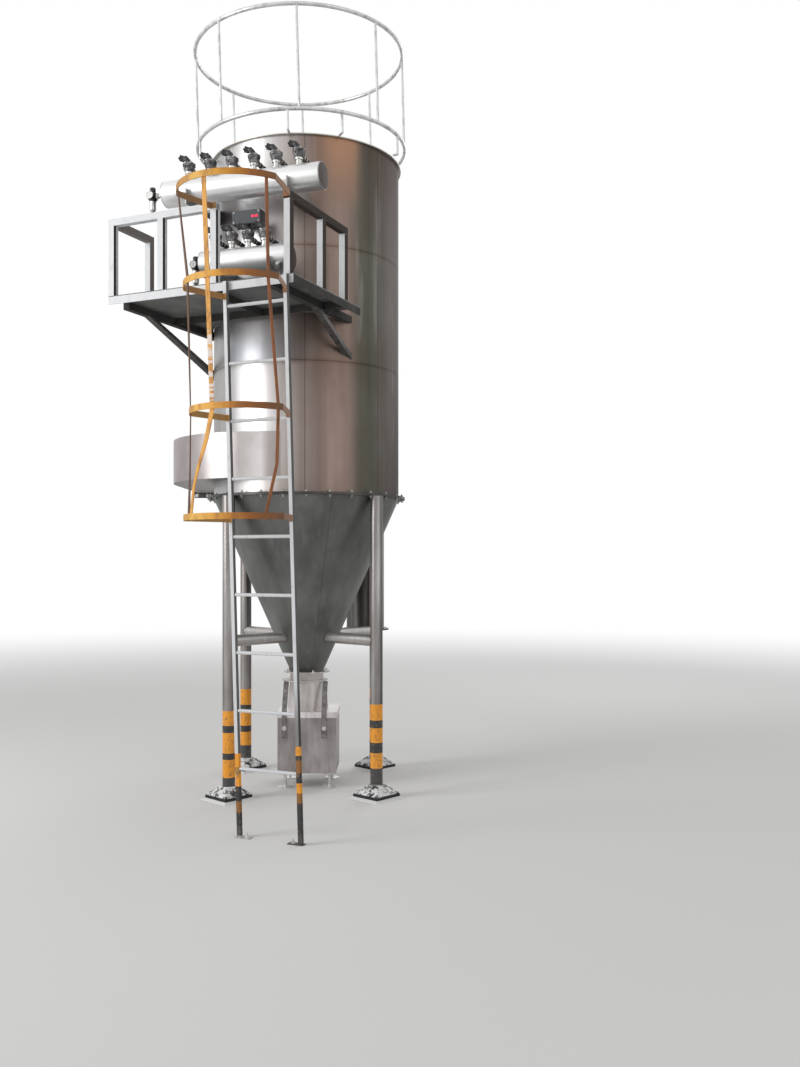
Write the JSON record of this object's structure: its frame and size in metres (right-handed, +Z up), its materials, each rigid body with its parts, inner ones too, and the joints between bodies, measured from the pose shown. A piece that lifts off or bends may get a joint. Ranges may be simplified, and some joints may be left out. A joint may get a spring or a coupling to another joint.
{
  "type": "cyclone dust separator",
  "caption": "Cylindrical dust separator with a cone, dust bin, pipe legs, scroll inlet, pulse air headers, service platform and caged ladder.",
  "frame": {"origin": "on the vessel's vertical axis at floor level", "axes": "+Z up along the vessel, +Y along the straight inlet duct towards its flange, platform and ladder on the -Y side"},
  "size_m": [1.6788, 2.6772, 4.7745],
  "materials": {
    "shell_steel": "brushed stainless sheet with faint vertical streaks and weld seams",
    "cone_steel": "dull mottled stainless sheet",
    "flange_steel": "dull rolled angle",
    "bin_steel": "satin stainless sheet",
    "pipe_steel": "satin stainless pipe",
    "dark_iron": "dark painted iron",
    "zinc": "zinc plated levelling feet and bolts",
    "grout": "rough white painted grout over a dark steel plate",
    "white_paint": "white paint, worn",
    "cage_paint": "orange paint, rusted in places",
    "deck_paint": "dark grey paint",
    "header_steel": "bright stainless tube",
    "valve_body": "dark cast valve bodies",
    "box_paint": "dark moulded box",
    "hose_rubber": "black rubber hose with clamps",
    "rail_steel": "silver paint"
  },
  "bodies": {
    "root": {"shell_wall": "shell_steel", "roof_plate": "shell_steel", "inlet_scroll": "shell_steel", "outlet_elbow": "shell_steel", "outlet_duct": "shell_steel", "cone_hopper": "cone_steel", "shell_flange": "flange_steel", "cone_flange": "flange_steel", "inlet_flange": "flange_steel", "duct_flange": "flange_steel", "outlet_flange": "bin_steel", "slide_gate": "bin_steel", "discharge_spout": "bin_steel", "bin_lid": "bin_steel", "bin_body": "bin_steel", "leg_front_right": "pipe_steel", "leg_back_right": "pipe_steel", "leg_back_left": "pipe_steel", "leg_front_left": "pipe_steel", "leg_braces": "pipe_steel", "bin_clamps": "dark_iron", "deck_brackets": "dark_iron", "bin_feet": "zinc", "foot_pads": "grout", "ladder_stile_left": "white_paint", "ladder_stile_right": "white_paint", "ladder_rungs": "white_paint", "deck_frame": "white_paint", "rail_front": "white_paint", "rail_left": "white_paint", "rail_right": "white_paint", "cage_hoop_top": "cage_paint", "cage_hoops": "cage_paint", "cage_straps": "cage_paint", "deck_plate": "deck_paint", "header_upper": "header_steel", "header_lower": "header_steel", "header_brackets": "header_steel", "upper_valves": "valve_body", "lower_valves": "valve_body", "air_regulators": "valve_body", "control_box": "box_paint", "blow_pipes": "hose_rubber", "guard_ring_top": "rail_steel", "guard_ring_low": "rail_steel", "guard_posts": "rail_steel", "guard_stubs": "rail_steel"}
  },
  "joints": []
}
